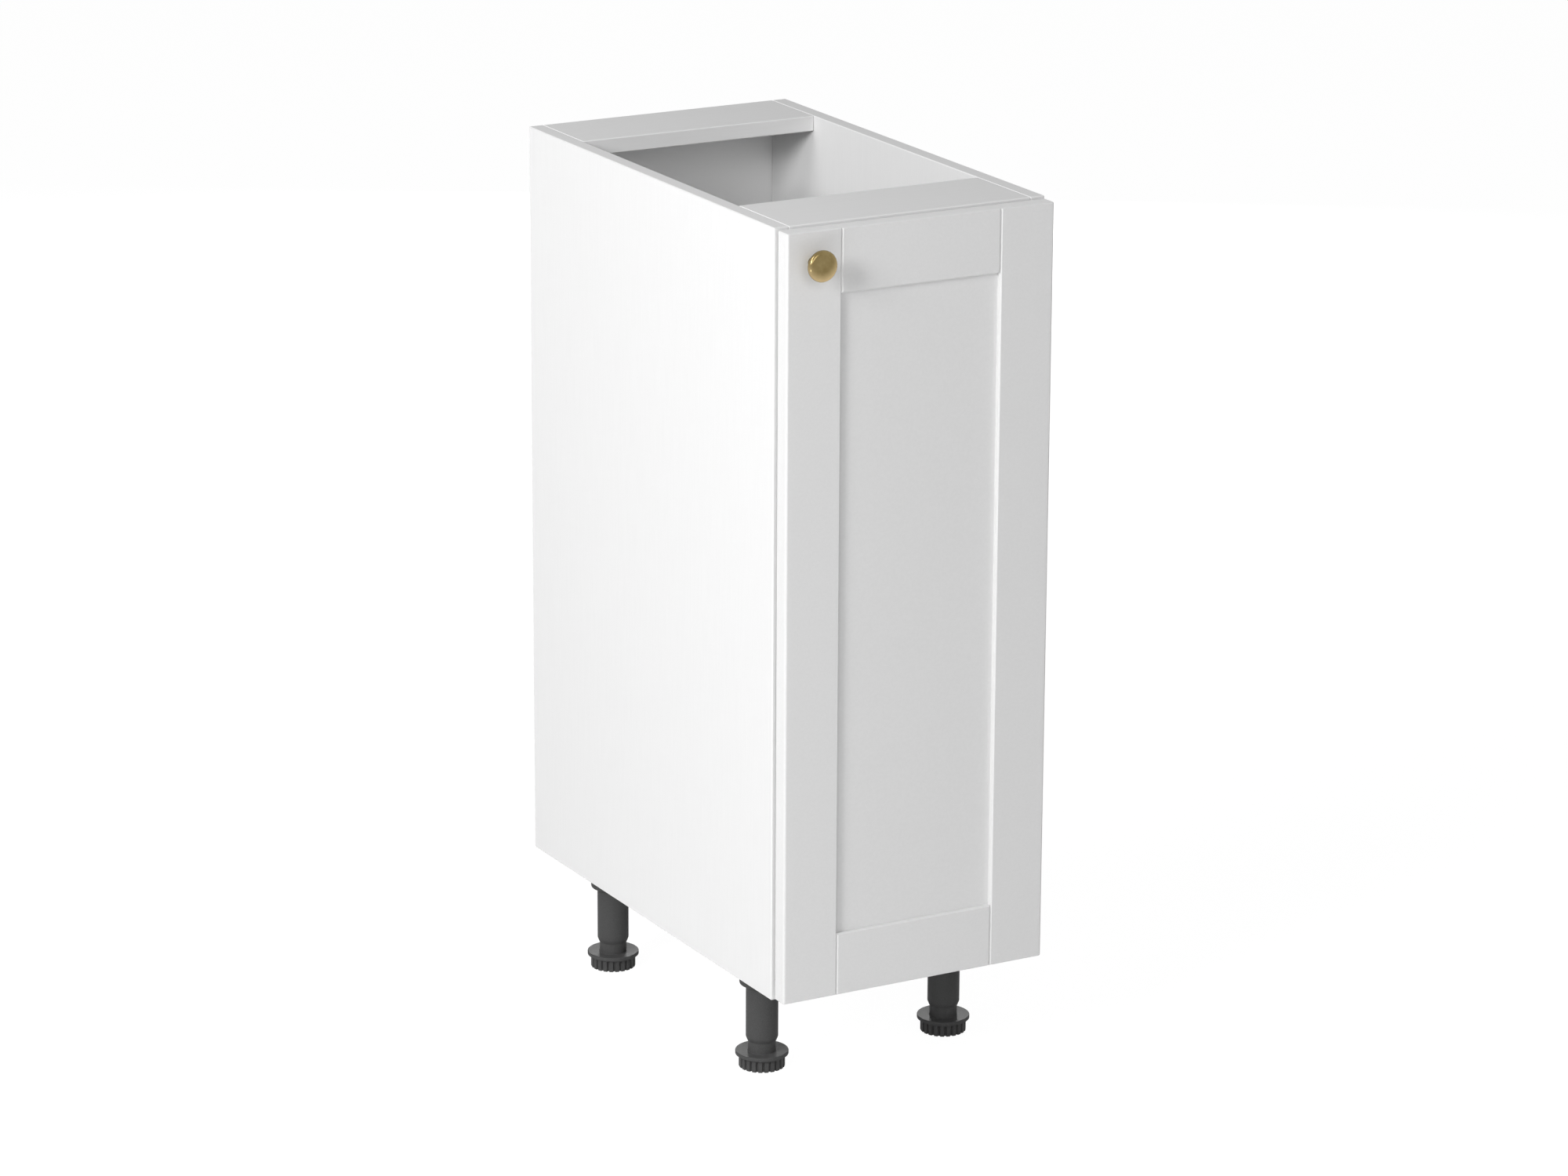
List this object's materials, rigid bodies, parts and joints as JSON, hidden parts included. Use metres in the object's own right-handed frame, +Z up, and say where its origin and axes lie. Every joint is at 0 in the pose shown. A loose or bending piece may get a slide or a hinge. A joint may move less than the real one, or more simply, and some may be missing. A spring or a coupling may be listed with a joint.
{
  "type": "kitchen base cabinet",
  "caption": "Narrow white kitchen base cabinet with an open top between two rails, an inner shelf, a framed door with a round brass knob on concealed hinges, and dark screw feet.",
  "frame": {"origin": "on the floor, under the middle of the overall width and depth, knob included", "axes": "+X to the cabinet's right as seen from the front, +Y to the wall behind it, +Z up"},
  "size_m": [0.3, 0.568, 0.89],
  "materials": {
    "white_board": "white melamine",
    "door_paint": "white satin paint",
    "back_board": "white faced fibreboard",
    "dowel_beech": "bare beech",
    "leg_plastic": "dark satin",
    "pin_plastic": "pale satin",
    "hinge_steel": "nickel plated",
    "screw_steel": "zinc plated",
    "cam_zinc": "die-cast zinc",
    "knob_brass": "brushed aged brass",
    "bumper_rubber": "soft clear"
  },
  "bodies": {
    "carcass": {"left_side": "white_board", "right_side": "white_board", "bottom_panel": "white_board", "front_top_rail": "white_board", "rear_top_rail": "white_board", "back_panel": "back_board", "shelf": "white_board", "shelf_pins": "pin_plastic", "dowels": "dowel_beech", "cam_housings": "cam_zinc", "cam_bolts": "screw_steel", "leg_plates": "leg_plastic", "leg_tubes": "leg_plastic", "hinge_links": "hinge_steel", "hinge_arms": "hinge_steel", "hinge_plates": "hinge_steel", "hinge_rivets": "hinge_steel"},
    "door": {"door_left_stile": "door_paint", "door_right_stile": "door_paint", "door_top_rail": "door_paint", "door_bottom_rail": "door_paint", "door_panel": "door_paint", "knob": "knob_brass", "knob_screw": "screw_steel", "door_bumpers": "bumper_rubber", "hinge_cups": "hinge_steel", "hinge_pins": "hinge_steel"},
    "foot_front_left": {"foot_front_left": "leg_plastic"},
    "foot_front_right": {"foot_front_right": "leg_plastic"},
    "foot_rear_left": {"foot_rear_left": "leg_plastic"},
    "foot_rear_right": {"foot_rear_right": "leg_plastic"}
  },
  "joints": [
    {"name": "door_swing", "type": "hinge", "parent": "carcass", "child": "door", "pos_m": [0.1395, -0.2505, 0.5], "axis": [0, 0, 1], "range_deg": [0, 95]},
    {"name": "foot_front_left_screw", "type": "slide", "parent": "carcass", "child": "foot_front_left", "axis": [0, 0, -1], "range_m": [-0.01, 0.015]},
    {"name": "foot_front_right_screw", "type": "slide", "parent": "carcass", "child": "foot_front_right", "axis": [0, 0, -1], "range_m": [-0.01, 0.015]},
    {"name": "foot_rear_left_screw", "type": "slide", "parent": "carcass", "child": "foot_rear_left", "axis": [0, 0, -1], "range_m": [-0.01, 0.015]},
    {"name": "foot_rear_right_screw", "type": "slide", "parent": "carcass", "child": "foot_rear_right", "axis": [0, 0, -1], "range_m": [-0.01, 0.015]}
  ]
}
